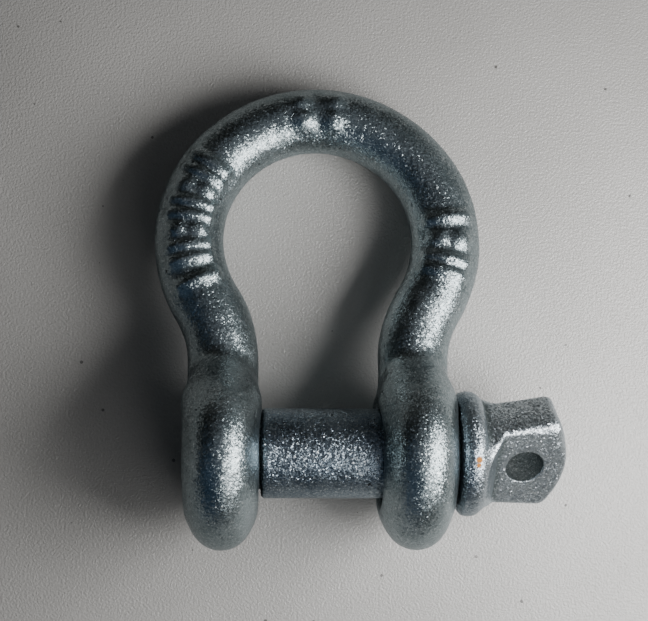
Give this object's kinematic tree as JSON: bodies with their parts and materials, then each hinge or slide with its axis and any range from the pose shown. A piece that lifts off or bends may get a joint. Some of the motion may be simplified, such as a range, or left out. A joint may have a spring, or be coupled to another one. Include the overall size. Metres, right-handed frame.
{
  "type": "bow shackle",
  "caption": "Forged steel bow shackle with a screw pin: an omega-shaped bow with two thick rounded ears, closed by a threaded pin with a collar and a flat eye.",
  "frame": {"origin": "on the screw pin's axis, midway between the bow's two ears", "axes": "+X along the pin towards its eye, +Y from the pin to the crown of the bow, +Z square to the plane of the bow"},
  "size_m": [0.0728, 0.0849, 0.0336],
  "materials": {
    "forged_zinc": "hot-dip zinc over a forged skin, glossy with a fine orange peel",
    "pin_zinc": "zinc over machined and forged steel, glossy with fine pits and a few rust spots"
  },
  "bodies": {
    "bow": {"bow": "forged_zinc"},
    "pin_core": {"pin_core": "pin_zinc"},
    "screw_pin": {"screw_pin": "pin_zinc"}
  },
  "joints": [
    {"name": "pin_draw", "type": "slide", "parent": "bow", "child": "pin_core", "axis": [1, 0, 0], "range_m": [0, 0.05195]},
    {"name": "pin_turn", "type": "hinge", "parent": "pin_core", "child": "screw_pin", "pos_m": [0, 0, 0], "axis": [1, 0, 0], "range_deg": [0, 8100]}
  ],
  "couplings": [
    {"joint": "pin_turn", "follows": "pin_draw", "rad_per_m": 2721.2}
  ]
}
